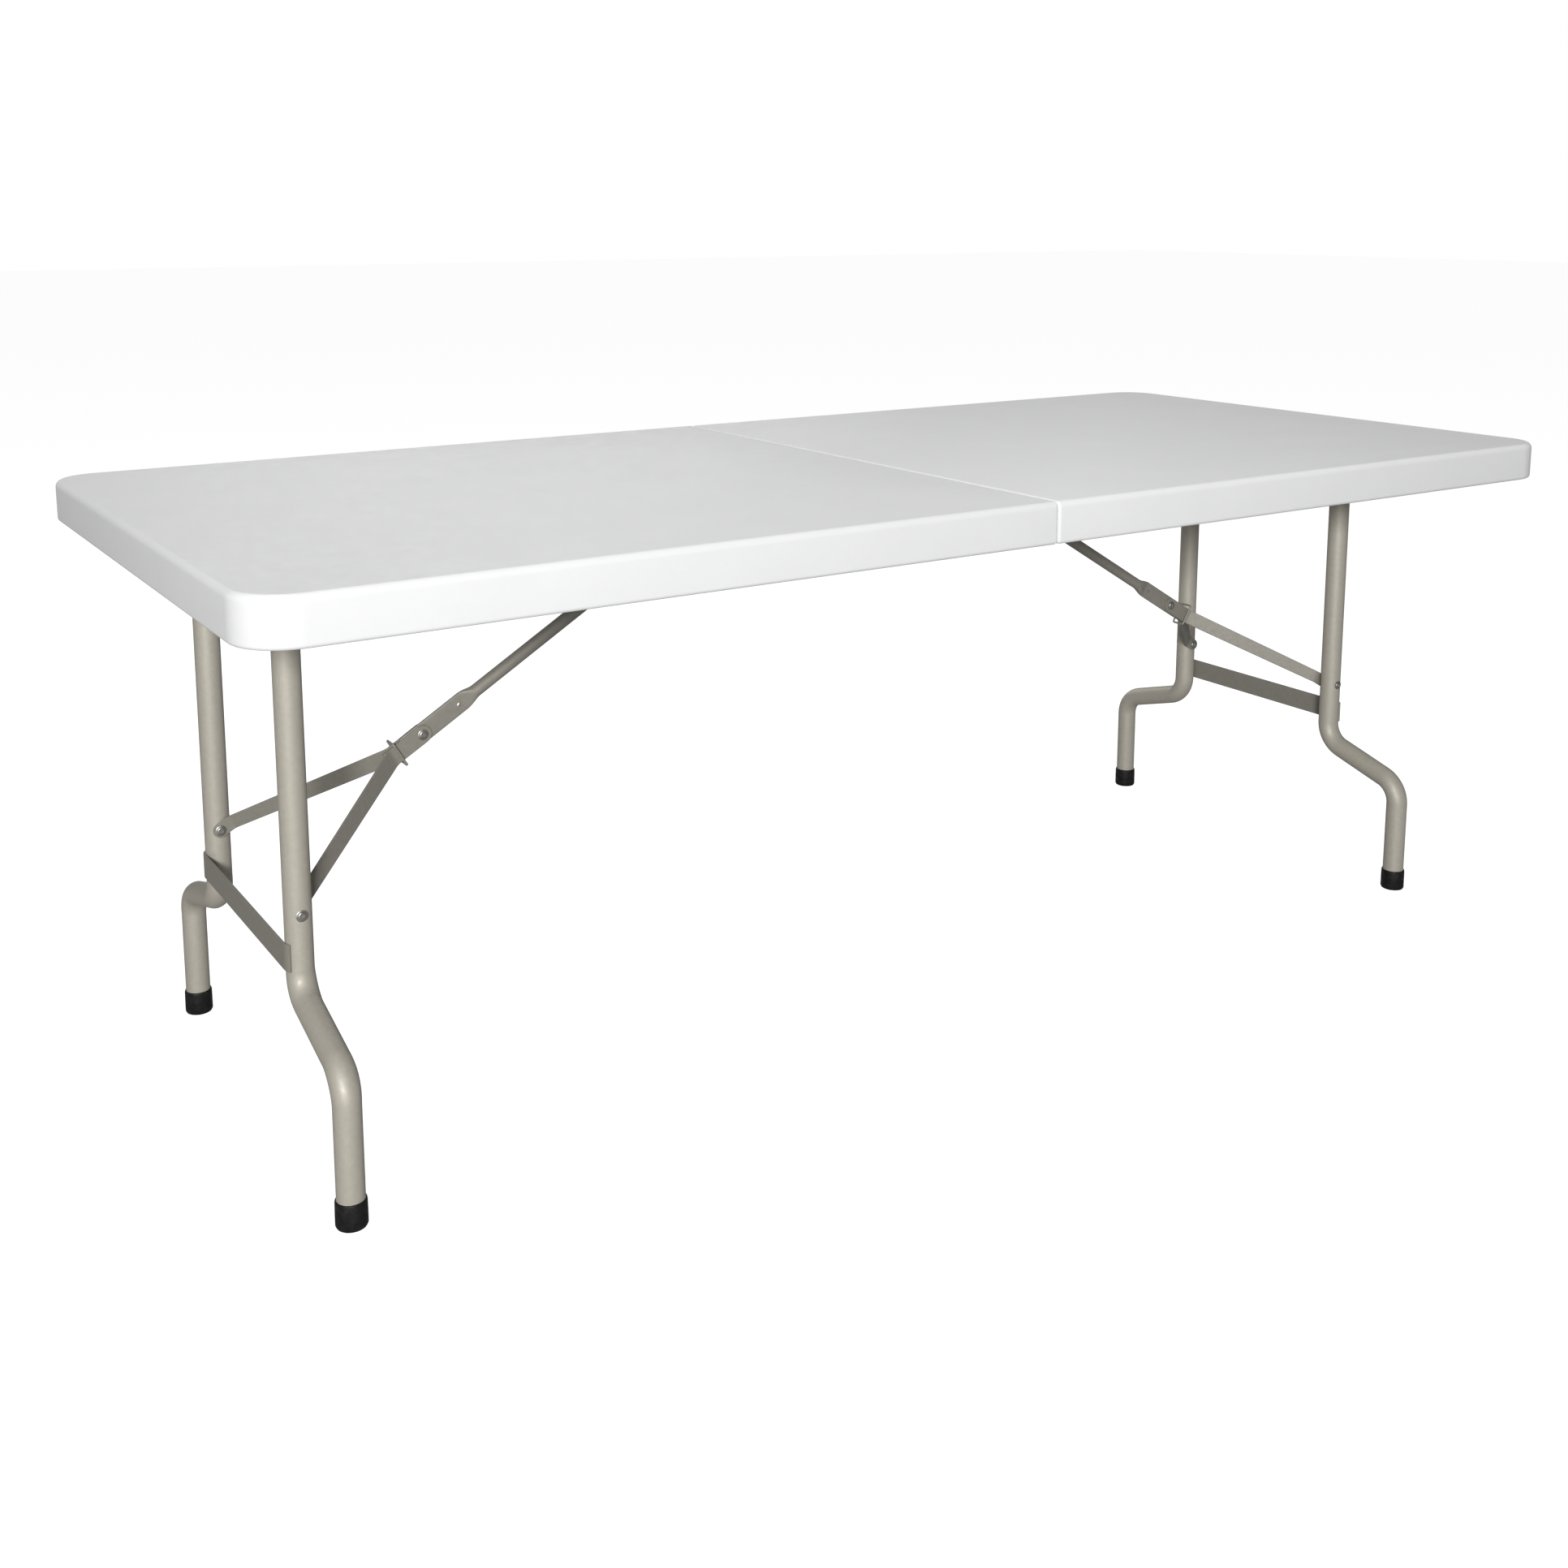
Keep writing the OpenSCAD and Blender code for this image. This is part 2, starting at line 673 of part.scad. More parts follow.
module latch_screw() color(bare) translate([-latch_x, 0, latch_z]) {
    head_y = wall_y - 2 * clear_gap - latch_t;
    y_rod(screw_r, head_y, wall_y + screw_bite);
    y_rod(screw_head_r + 1, head_y - head_h, head_y);
}

module latch_keeper() color(bare) translate([latch_x, 0, 2 * hinge_z + latch_reach - latch_z]) {
    y_rod(screw_r, wall_y, wall_y + screw_bite);
    y_rod(keeper_r, wall_y - latch_t - 2 * clear_gap, wall_y);
    y_rod(keeper_head_r, wall_y - latch_t - 2 * clear_gap - head_h, wall_y - latch_t - 2 * clear_gap);
}

// ---- nodes ---------------------------------------------------------------

top_left();
top_right();
color(steel) row(-1) rail();  // rail_front_left
color(steel) rail();  // rail_back_left
color(steel) side(1) row(-1) rail();  // rail_front_right
color(steel) side(1) rail();  // rail_back_right
color(bare) rail_screws();  // rail_screws_left
color(bare) side(1) rail_screws();  // rail_screws_right
color(bare) row(-1) hinge_clevis();  // hinge_clevis_front
color(bare) hinge_clevis();  // hinge_clevis_back
color(bare) row(-1) hinge_tongue();  // hinge_tongue_front
color(bare) hinge_tongue();  // hinge_tongue_back
color(bare) row(-1) hinge_pin();  // hinge_pin_front
color(bare) hinge_pin();  // hinge_pin_back
color(bare) hinge_rivets(rail_w / 2 + hinge_leaf_t);  // hinge_rivets_left
color(bare) side(1) hinge_rivets(rail_w / 2);  // hinge_rivets_right
color(steel) pivot_tube();  // pivot_tube_left
color(steel) side(1) pivot_tube();  // pivot_tube_right
color(dark) pivot_caps();  // pivot_caps_left
color(dark) side(1) pivot_caps();  // pivot_caps_right
color(steel) row(-1) leg();  // leg_front_left
color(steel) leg();  // leg_back_left
color(steel) side(1) row(-1) leg();  // leg_front_right
color(steel) side(1) leg();  // leg_back_right
color(steel) cross_strap();  // cross_strap_left
color(steel) side(1) cross_strap();  // cross_strap_right
color(dark) row(-1) foot();  // foot_front_left
color(dark) foot();  // foot_back_left
color(dark) side(1) row(-1) foot();  // foot_front_right
color(dark) side(1) foot();  // foot_back_right
color(bare) leg_rivets();  // leg_rivets_left
color(bare) side(1) leg_rivets();  // leg_rivets_right
color(steel) row(-1) yoke_bar();  // yoke_front_left
color(steel) yoke_bar();  // yoke_back_left
color(steel) side(1) row(-1) yoke_bar();  // yoke_front_right
color(steel) side(1) yoke_bar();  // yoke_back_right
color(bare) yoke_rivets();  // yoke_rivets_left
color(bare) side(1) yoke_rivets();  // yoke_rivets_right
color(steel) strut();  // strut_left
color(steel) side(1) strut();  // strut_right
color(bare) knuckle_rivet();  // knuckle_rivet_left
color(bare) side(1) knuckle_rivet();  // knuckle_rivet_right
color(bare) lock_ring();  // lock_ring_left
color(bare) side(1) lock_ring();  // lock_ring_right
color(bare) strut_bracket();  // strut_bracket_left
color(bare) side(1) strut_bracket();  // strut_bracket_right
color(bare) strut_pin();  // strut_pin_left
color(bare) side(1) strut_pin();  // strut_pin_right
color(bare) bracket_screws();  // bracket_screws_left
color(bare) side(1) bracket_screws();  // bracket_screws_right
carry_handle();
handle_pins();
latch_hook();
latch_screw();
latch_keeper();
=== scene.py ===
import json
import math

import bmesh
import bpy
from mathutils import Matrix, Vector


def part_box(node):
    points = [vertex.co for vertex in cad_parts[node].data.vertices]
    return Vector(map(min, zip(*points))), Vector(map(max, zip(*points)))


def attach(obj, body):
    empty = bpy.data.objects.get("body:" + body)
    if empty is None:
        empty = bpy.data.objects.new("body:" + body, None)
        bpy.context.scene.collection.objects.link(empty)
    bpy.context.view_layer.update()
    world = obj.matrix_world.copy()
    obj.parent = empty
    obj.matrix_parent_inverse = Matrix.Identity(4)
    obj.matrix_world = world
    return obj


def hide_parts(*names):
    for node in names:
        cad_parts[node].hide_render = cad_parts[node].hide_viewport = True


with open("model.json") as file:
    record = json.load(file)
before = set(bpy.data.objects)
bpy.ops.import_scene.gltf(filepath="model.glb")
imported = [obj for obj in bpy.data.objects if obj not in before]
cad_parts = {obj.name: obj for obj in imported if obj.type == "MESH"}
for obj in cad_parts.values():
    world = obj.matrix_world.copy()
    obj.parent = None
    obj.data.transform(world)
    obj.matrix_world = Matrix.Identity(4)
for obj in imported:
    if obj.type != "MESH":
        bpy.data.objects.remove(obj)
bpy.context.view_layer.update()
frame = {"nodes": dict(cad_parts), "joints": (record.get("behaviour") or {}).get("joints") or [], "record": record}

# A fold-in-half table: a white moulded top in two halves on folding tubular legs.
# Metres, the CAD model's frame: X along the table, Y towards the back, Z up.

MM = 0.001
SIDES = {"left": -1, "right": 1}
ROWS = {"front": -1, "back": 1}
cad = frame["nodes"]
joints = {joint["name"]: joint for joint in frame["joints"]}

# ---- sizes read from the frame --------------------------------------------

top_low, top_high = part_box("top_right")
half_l = top_high[0]
half_w = top_high[1]
top_z = top_high[2]
skirt_z = top_low[2]
seam_x = top_low[0]
recess_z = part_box("rail_back_right")[1][2]
rail_y = sum(corner[1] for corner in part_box("rail_back_right")) / 2

leg_low, leg_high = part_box("leg_back_right")
leg_r = (leg_high[0] - leg_low[0]) / 2
leg_x = (leg_high[0] + leg_low[0]) / 2
leg_y = leg_low[1] + leg_r
foot_y = leg_high[1] - leg_r
pivot_z = joints["leg_fold_right"]["pos_m"][2]

foot_low, foot_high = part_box("foot_back_right")
foot_r = (foot_high[0] - foot_low[0]) / 2 - 0.5 * MM

strap_low, strap_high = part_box("cross_strap_right")
kink_z = strap_low[2]
strap_h = strap_high[2] - strap_low[2]
strap_t = strap_high[0] - leg_x - leg_r

knuckle = Vector(joints["knuckle_right"]["pos_m"])
bracket_pin = Vector(joints["strut_swing_right"]["pos_m"])
strut_l = (bracket_pin - knuckle).length
brace_angle = math.atan2(bracket_pin.z - knuckle.z, knuckle.x - bracket_pin.x)
yoke_l = (leg_x - knuckle.x) / math.cos(brace_angle)
yoke_low, yoke_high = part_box("yoke_back_right")

# ---- sizes of the pieces built here ---------------------------------------

corner_r = 60 * MM
edge_r = 9 * MM
edge_break = 18
lip_r = 5 * MM
rim_w = 26 * MM
seam_rim_w = 14 * MM
seam_round = 4 * MM
rail_h = 37 * MM

bend_r = 40 * MM
lean = math.acos(0.28)
bend_squeeze = 0.95

strut_r = 8.5 * MM
flat_w = 26 * MM
flat_t = 5 * MM
strut_end_r = 12 * MM
neck_w = 20 * MM
yoke_w = 24 * MM
yoke_end_w = 19 * MM
yoke_t = 3 * MM
yoke_side_l = 46 * MM
yoke_tab_l = 16 * MM
rivet_r = 4 * MM
head_r = 7 * MM
head_h = 2 * MM
bar_edge = 0.6 * MM


# ---- materials -------------------------------------------------------------

def node(tree, kind, settings=(), **inputs):
    """A new shader node with some of its properties and unlinked inputs set."""
    made = tree.nodes.new("ShaderNode" + kind)
    for key, value in dict(settings).items():
        setattr(made, key, value)
    for key, value in inputs.items():
        made.inputs[key.replace("_", " ")].default_value = value
    return made


def noise(tree, coords, scale, detail=3.0):
    """A noise texture's value, with its scale in cycles a metre."""
    made = node(tree, "TexNoise", Scale=scale, Detail=detail)
    tree.links.new(coords.outputs["Object"], made.inputs["Vector"])
    return made.outputs["Fac"]


def ramp(tree, value, stops):
    """A colour ramp over value; each stop is (place, colour)."""
    made = node(tree, "ValToRGB")
    elements = made.color_ramp.elements
    while len(elements) < len(stops):
        elements.new(0.5)
    for element, (place, colour) in zip(elements, stops):
        element.position = place
        element.color = (*colour, 1.0)
    tree.links.new(value, made.inputs["Fac"])
    return made.outputs["Color"]


def spread(tree, value, low, high):
    """value, a noise between about 0.3 and 0.7, stretched to run from low to high."""
    made = node(tree, "MapRange", From_Min=0.3, From_Max=0.7, To_Min=low, To_Max=high)
    tree.links.new(value, made.inputs["Value"])
    return made.outputs["Result"]


def bump(tree, height, depth, strength, normal=None):
    """A bump of that depth in metres, on top of another one if given."""
    made = node(tree, "Bump", Strength=strength, Distance=depth)
    tree.links.new(height, made.inputs["Height"])
    if normal is not None:
        tree.links.new(normal, made.inputs["Normal"])
    return made.outputs["Normal"]


def new_material(name, metallic, **inputs):
    material = bpy.data.materials.new(name)
    material.use_nodes = True
    tree = material.node_tree
    shader = tree.nodes["Principled BSDF"]
    shader.inputs["Metallic"].default_value = metallic
    for key, value in inputs.items():
        shader.inputs[key.replace("_", " ")].default_value = value
    return material, tree, shader, tree.nodes.new("ShaderNodeTexCoord")


def finish_material(tree, shader, colour, roughness, normal):
    tree.links.new(colour, shader.inputs["Base Color"])
    tree.links.new(roughness, shader.inputs["Roughness"])
    tree.links.new(normal, shader.inputs["Normal"])


def top_plastic():
    """White polyethylene with a fine moulded grain and faint clouding."""
    material, tree, shader, coords = new_material("top_plastic", 0.0, Specular_IOR_Level=0.35)
    cloud = noise(tree, coords, 9.0, 5.0)
    colour = ramp(tree, cloud, [(0.3, (0.752, 0.754, 0.758)), (0.7, (0.768, 0.770, 0.774))])
    rough = spread(tree, noise(tree, coords, 60.0), 0.58, 0.72)
    grain = node(tree, "TexVoronoi", {"feature": "SMOOTH_F1"}, Scale=520.0)
    tree.links.new(coords.outputs["Object"], grain.inputs["Vector"])
    fine = bump(tree, grain.outputs["Distance"], 0.25 * MM, 0.35)
    wave = bump(tree, noise(tree, coords, 60.0, 2.0), 0.3 * MM, 0.1, fine)
    finish_material(tree, shader, colour, rough, wave)
    return material


def frame_paint(name, dark, light, rough_low, rough_high):
    """Warm grey hammered powder coat on steel."""
    material, tree, shader, coords = new_material(name, 0.25)
    cloud = noise(tree, coords, 160.0, 6.0)
    colour = ramp(tree, cloud, [(0.3, dark), (0.7, light)])
    rough = spread(tree, noise(tree, coords, 240.0), rough_low, rough_high)
    hammer = bump(tree, noise(tree, coords, 650.0, 2.0), 0.15 * MM, 0.3)
    finish_material(tree, shader, colour, rough, hammer)
    return material


def zinc_plate():
    """Zinc-plated steel, a little dulled."""
    material, tree, shader, coords = new_material("zinc_plate", 1.0)
    cloud = noise(tree, coords, 130.0, 5.0)
    colour = ramp(tree, cloud, [(0.3, (0.34, 0.33, 0.30)), (0.7, (0.48, 0.47, 0.44))])
    rough = spread(tree, noise(tree, coords, 300.0), 0.36, 0.52)
    fine = bump(tree, noise(tree, coords, 900.0, 2.0), 0.05 * MM, 0.2)
    finish_material(tree, shader, colour, rough, fine)
    return material


def foot_rubber():
    """Black moulded caps, scuffed a little lighter in places."""
    material, tree, shader, coords = new_material("foot_rubber", 0.0, Specular_IOR_Level=0.25)
    scuff = noise(tree, coords, 160.0, 8.0)
    colour = ramp(tree, scuff, [(0.45, (0.006, 0.006, 0.006)), (0.75, (0.018, 0.017, 0.017))])
    rough = spread(tree, noise(tree, coords, 200.0), 0.45, 0.7)
    skin = bump(tree, noise(tree, coords, 1200.0, 2.0), 0.1 * MM, 0.3)
    finish_material(tree, shader, colour, rough, skin)
    return material


def handle_plastic():
    """Pale grey moulded plastic."""
    material, tree, shader, coords = new_material("handle_plastic", 0.0)
    cloud = noise(tree, coords, 40.0, 4.0)
    colour = ramp(tree, cloud, [(0.35, (0.60, 0.60, 0.59)), (0.65, (0.66, 0.66, 0.65))])
    rough = spread(tree, noise(tree, coords, 150.0), 0.35, 0.5)
    skin = bump(tree, noise(tree, coords, 800.0, 2.0), 0.1 * MM, 0.2)
    finish_material(tree, shader, colour, rough, skin)
    return material


materials = {
    "top_plastic": top_plastic(),
    "frame_paint": frame_paint("frame_paint", (0.415, 0.39, 0.33), (0.445, 0.42, 0.36), 0.50, 0.62),
    "zinc": zinc_plate(),
    "foot_rubber": foot_rubber(),
    "handle_plastic": handle_plastic(),
}
# A darker copy of the frame paint for the strut, yoke bars, leg straps and lock rings: painted shade. It is the same
# paint, darkened to stand in for the shade these parts sit in under the top.
frame_paint_painted_shade = frame_paint("frame_paint_painted_shade", (0.26, 0.245, 0.21), (0.285, 0.27, 0.235), 0.48, 0.62)

for part in frame["record"]["subparts"]:
    data = cad[part["node"]].data
    data.materials.clear()
    # The lock rings take the darkened copy of the frame paint: painted shade.
    is_ring = part["node"].startswith("lock_ring")
    data.materials.append(frame_paint_painted_shade if is_ring else materials[part["material_slot"]])


# ---- mesh helpers ----------------------------------------------------------

def new_piece(name, bm, slot, body, stands_for, material=None, sharp=40):
    """Makes an object of bm, rides it on body and lets it stand for CAD nodes."""
    bmesh.ops.recalc_face_normals(bm, faces=bm.faces[:])
    mesh = bpy.data.meshes.new(name)
    bm.to_mesh(mesh)
    bm.free()
    mesh.materials.append(material or materials[slot])
    mesh.shade_smooth()
    mesh.set_sharp_from_angle(angle=math.radians(sharp))
    piece = bpy.data.objects.new(name, mesh)
    bpy.context.scene.collection.objects.link(piece)
    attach(piece, body)
    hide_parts(*stands_for)
    return piece


def bridge(bm, low, high, closed=True):
    """Faces between two rows of vertices."""
    count = len(low)
    for k in range(count if closed else count - 1):
        n = (k + 1) % count
        bm.faces.new((low[k], low[n], high[n], high[k]))


def loft(bm, rings, place=lambda p: p):
    """A closed solid through rings of points, which place() puts in the frame."""
    rows = [[bm.verts.new(place(Vector(point))) for point in ring] for ring in rings]
    for low, high in zip(rows, rows[1:]):
        bridge(bm, low, high)
    bm.faces.new(rows[0][::-1])
    bm.faces.new(rows[-1])


def arc(start, end, steps):
    """Angles in radians from start to end degrees, both included."""
    return [math.radians(start + (end - start) * k / steps) for k in range(steps + 1)]


def lathe(bm, profile, centre, axis, steps=32):
    """Turns (radius, height) points round axis through centre, with height along axis."""
    turn = Vector((0, 0, 1)).rotation_difference(Vector(axis)).to_matrix()
    rows = []
    for radius, height in profile:
        ring = [(radius * math.cos(2 * math.pi * k / steps), radius * math.sin(2 * math.pi * k / steps), height)
                for k in range(steps)]
        rows.append([Vector(centre) + turn @ Vector(p) for p in ring])
    loft(bm, rows)


def smooth(t):
    """Eases from 0 to 1 as t does."""
    t = min(max(t, 0.0), 1.0)
    return t * t * (3 - 2 * t)


# ---- the moulded top -------------------------------------------------------

def outline(inset):
    """Half the table's outline seen from above, from the front of the seam to its back."""
    corner_x = half_l - corner_r
    corner_y = half_w - corner_r
    points = [(seam_x, -(half_w - inset))]
    for row, turn in ((-1, arc(-90, 0, 20)), (1, arc(0, 90, 20))):
        points += [(corner_x + (corner_r - inset) * math.cos(a), row * corner_y + (corner_r - inset) * math.sin(a))
                   for a in turn]
    return points + [(seam_x, half_w - inset)]


def top_blank(side):
    """One half of the top as a solid, before its underside is hollowed."""
    rise = math.cos(math.radians(edge_break))
    levels = [(edge_r * (1 - math.sin(a)), top_z - edge_r * (rise - math.cos(a))) for a in arc(edge_break, 90, 12)]
    levels += [(lip_r * (1 - math.cos(a)), skirt_z + lip_r * (1 - math.sin(a))) for a in arc(0, 90, 8)]
    bm = bmesh.new()
    rows = [[bm.verts.new((side * x, y, z)) for x, y in outline(inset)] for inset, z in levels]
    for low, high in zip(rows, rows[1:]):
        bridge(bm, low, high, closed=False)
    bm.faces.new(rows[0])
    bm.faces.new(rows[-1][::-1])
    seam = bm.faces.new([row[0] for row in rows] + [row[-1] for row in rows][::-1])
    bmesh.ops.recalc_face_normals(bm, faces=bm.faces[:])
    bmesh.ops.bevel(bm, geom=seam.edges[:], offset=seam_round, segments=8, profile=0.5, affect="EDGES")
    return bm


def rounded_ring(x0, x1, y, radius_0, radius_1, inset, z):
    """A closed ring round x0...x1 and -y...y with its own corner radius at each end."""
    points = []
    for x, sx, sy, radius, turn in (
        (x1, 1, 1, radius_1, arc(0, 90, 8)), (x0, -1, 1, radius_0, arc(90, 180, 8)),
        (x0, -1, -1, radius_0, arc(180, 270, 8)), (x1, 1, -1, radius_1, arc(270, 360, 8)),
    ):
        points += [(x - sx * radius + (radius - inset) * math.cos(a),
                    sy * (y - radius) + (radius - inset) * math.sin(a), z) for a in turn]
    return points


def recess_cutter(side):
    """The hollow under a half, with a rounded entry and a rounded ceiling."""
    entry_r = 3 * MM
    ceiling_r = 6 * MM
    levels = [(-entry_r, skirt_z - 5 * MM)]
    levels += [(-entry_r * (1 - math.sin(a)), skirt_z + entry_r * (1 - math.cos(a))) for a in arc(0, 90, 4)]
    levels += [(ceiling_r * (1 - math.cos(a)), recess_z - ceiling_r * (1 - math.sin(a))) for a in arc(0, 90, 5)]
    rings = [rounded_ring(seam_x + seam_rim_w, half_l - rim_w, half_w - rim_w, 10 * MM, corner_r - rim_w, inset, z)
             for inset, z in levels]
    bm = bmesh.new()
    loft(bm, rings, lambda p: Vector((side * p.x, p.y, p.z)))
    return bm


def box_cutter(bm, low, high):
    """A closed box between two corners."""
    size = Vector(high) - Vector(low)
    middle = (Vector(high) + Vector(low)) / 2
    bmesh.ops.create_cube(bm, size=1, matrix=Matrix.Translation(middle) @ Matrix.Diagonal((*size, 1)))


def opening_cutter(side):
    """Notches for the hinge leaves, and the handle's pocket in the left half."""
    bm = bmesh.new()
    notch = 17 * MM
    for row in ROWS.values():
        ends = sorted((side * (seam_x - 5 * MM), side * (seam_x + seam_rim_w + 5 * MM)))
        box_cutter(bm, (ends[0], row * rail_y - notch, skirt_z - 5 * MM),
                   (ends[1], row * rail_y + notch, skirt_z + rail_h - MM))
    if side == SIDES["left"]:
        handle_x, handle_y, handle_z = joints["handle_swing"]["pos_m"]
        box_cutter(bm, (handle_x - 75 * MM, half_w - 18 * MM, skirt_z - 5 * MM),
                   (handle_x + 75 * MM, half_w + 5 * MM, handle_z + 9 * MM))
    return bm


def dimple_cutter(side):
    """Rows of shallow dents in the recess, where the two skins of the moulding meet."""
    bm = bmesh.new()
    pitch = 62 * MM
    depth = 5 * MM
    for i in range(15):
        for j in range(-5, 6):
            x = seam_x + 75 * MM + i * pitch
            y = (j + (0.5 if i % 2 else 0)) * pitch
            near_bracket = abs(x - bracket_pin.x) < 50 * MM and abs(y) < 45 * MM
            if abs(y) > 350 * MM or x > half_l - 60 * MM or near_bracket:
                continue
            profile = [(13 * MM, -2 * MM), (11.5 * MM, 0), (9 * MM, depth * 0.6), (7 * MM, depth * 0.92), (4 * MM, depth)]
            lathe(bm, profile, (side * x, y, recess_z), (0, 0, 1), steps=20)
    return bm


def cut(piece, cutters):
    """Takes each cutter away from piece and keeps the result as its mesh."""
    spare = []
    for bm in cutters:
        bmesh.ops.recalc_face_normals(bm, faces=bm.faces[:])
        mesh = bpy.data.meshes.new("cutter")
        bm.to_mesh(mesh)
        bm.free()
        tool = bpy.data.objects.new("cutter", mesh)
        bpy.context.scene.collection.objects.link(tool)
        spare.append(tool)
        step = piece.modifiers.new("cut", "BOOLEAN")
        step.object = tool
        step.solver = "EXACT"
    bpy.context.view_layer.update()
    shaped = bpy.data.meshes.new_from_object(piece.evaluated_get(bpy.context.evaluated_depsgraph_get()))
    piece.modifiers.clear()
    piece.data = shaped
    for tool in spare:
        bpy.data.objects.remove(tool)


def crease(mesh):
    """Smooth shading, with sharp edges at folds and round the large flat faces."""
    mesh.shade_smooth()
    bm = bmesh.new()
    bm.from_mesh(mesh)
    for edge in bm.edges:
        if len(edge.link_faces) == 2:
            large = max(face.calc_area() for face in edge.link_faces) > 0.01
            edge.smooth = edge.calc_face_angle(0) < math.radians(6 if large else 32)
    bmesh.ops.triangulate(bm, faces=[face for face in bm.faces if len(face.verts) > 4])
    bm.to_mesh(mesh)
    bm.free()


def build_top(name, side):
    piece = new_piece("moulded_top_" + name, top_blank(side), "top_plastic", name + "_half", ["top_" + name])
    cut(piece, [recess_cutter(side), opening_cutter(side), dimple_cutter(side)])
    crease(piece.data)


# ---- legs ------------------------------------------------------------------

def leg_stations():
    """Down a leg: (y, z, angle from straight down, half width in X, half width across)."""
    offset_y = foot_y - leg_y
    run = (offset_y - 2 * bend_r * (1 - math.cos(lean))) / math.sin(lean)
    stations = []
    for a in arc(8, 90, 6):
        stations.append((leg_y, pivot_z + leg_r * math.cos(a), 0, leg_r * math.sin(a), leg_r))
    stations.append((leg_y, kink_z + 4 * MM, 0, leg_r, leg_r))
    bends = [(leg_y + bend_r, kink_z, -1, 0, lean)]
    mid_y = leg_y + bend_r * (1 - math.cos(lean))
    mid_z = kink_z - bend_r * math.sin(lean)
    end_y = mid_y + run * math.sin(lean)
    end_z = mid_z - run * math.cos(lean)
    bends.append((foot_y - bend_r, end_z - bend_r * math.sin(lean), 1, lean, 0))
    steps = 16
    for y, z, way, start, end in bends:
        for k in range(steps + 1):
            a = start + (end - start) * k / steps
            squeeze = 1 - (1 - bend_squeeze) * math.sin(math.pi * k / steps)
            stations.append((y + way * bend_r * math.cos(a), z + way * bend_r * math.sin(a), a,
                             leg_r * (2 - squeeze), leg_r * squeeze))
    stations.append((foot_y, foot_low[2] + 8 * MM, 0, leg_r, leg_r))
    return stations


def build_leg(side_name, row_name):
    side, row = SIDES[side_name], ROWS[row_name]
    rings = []
    for y, z, a, half_x, half_n in leg_stations():
        ring = []
        for k in range(48):
            turn = 2 * math.pi * k / 48
            across = half_n * math.sin(turn)
            ring.append((side * (leg_x + half_x * math.cos(turn)),
                         row * (y + across * math.cos(a)), z + across * math.sin(a)))
        rings.append(ring)
    bm = bmesh.new()
    loft(bm, rings)
    new_piece(f"tube_leg_{row_name}_{side_name}", bm, "frame_paint", side_name + "_legs", [f"leg_{row_name}_{side_name}"])


def build_foot(side_name, row_name):
    """A moulded cap with a rounded tread, three ribs and a soft lip."""
    top = foot_high[2]
    profile = [(foot_r * 0.55, 0.0), (foot_r - 3 * MM, 0.0), (foot_r - 1.2 * MM, 0.6 * MM), (foot_r, 3 * MM)]
    for k in range(3):
        z = (9 + 3 * k) * MM
        profile += [(foot_r, z), (foot_r - 0.5 * MM, z + 0.5 * MM), (foot_r - 0.5 * MM, z + MM), (foot_r, z + 1.5 * MM)]
    profile += [(foot_r - 0.2 * MM, top - 2.5 * MM), (foot_r - 0.6 * MM, top - 0.8 * MM), (foot_r - 1.4 * MM, top),
                (leg_r, top), (leg_r, top - 4 * MM)]
    bm = bmesh.new()
    lathe(bm, profile, (SIDES[side_name] * leg_x, ROWS[row_name] * foot_y, 0), (0, 0, 1), steps=48)
    new_piece(f"foot_cap_{row_name}_{side_name}", bm, "foot_rubber", side_name + "_legs", [f"foot_{row_name}_{side_name}"])


# ---- flat bars -------------------------------------------------------------

def bar_rings(path, half_width, thickness):
    """Chamfered sections across a bar that follows path, its (along, across) centre line."""
    rings = []
    length = 0.0
    for k, point in enumerate(path):
        here = Vector(point)
        before = Vector(path[max(k - 1, 0)])
        after = Vector(path[min(k + 1, len(path) - 1)])
        length += (here - before).length
        ahead = (after - here).normalized() if k < len(path) - 1 else (here - before).normalized()
        behind = (here - before).normalized() if k else ahead
        along = (ahead + behind).normalized()
        normal = Vector((-along.y, along.x)) / max(along.dot(ahead), 0.5)
        wide = max(half_width(length), bar_edge * 1.05)
        thick = thickness / 2
        section = [(thick - bar_edge, wide), (thick, wide - bar_edge), (thick, bar_edge - wide), (thick - bar_edge, -wide),
                   (bar_edge - thick, -wide), (-thick, bar_edge - wide), (-thick, wide - bar_edge), (bar_edge - thick, wide)]
        rings.append([(here.x + normal.x * n, here.y + normal.y * n, w) for n, w in section])
    return rings


def tapered(length, start_r, end_r):
    """Half width of a bar of that length that narrows between half-round ends."""
    def half_width(at):
        for near, radius in ((at, start_r), (length - at, end_r)):
            if near < radius:
                return math.sqrt(max(radius ** 2 - (radius - near) ** 2, 0))
        return start_r + (end_r - start_r) * (at - start_r) / (length - start_r - end_r)
    return half_width


def path_length(path):
    return sum((Vector(b) - Vector(a)).length for a, b in zip(path, path[1:]))


def soften(path, radius, steps=5):
    """The corners of a path rounded by short arcs, and its ends cut into short steps."""
    made = [Vector(path[0])]
    for before, here, after in zip(path, path[1:], path[2:]):
        here = Vector(here)
        start = here + (Vector(before) - here).normalized() * radius
        end = here + (Vector(after) - here).normalized() * radius
        made += [start.lerp(here, t).lerp(here.lerp(end, t), t) for t in (k / steps for k in range(steps + 1))]
    made.append(Vector(path[-1]))
    fine = []
    for a, b in zip(made, made[1:]):
        pieces = max(1, min(24, round((b - a).length / (1.2 * MM))))
        fine += [a.lerp(b, k / pieces) for k in range(pieces)]
    return fine + [made[-1]]


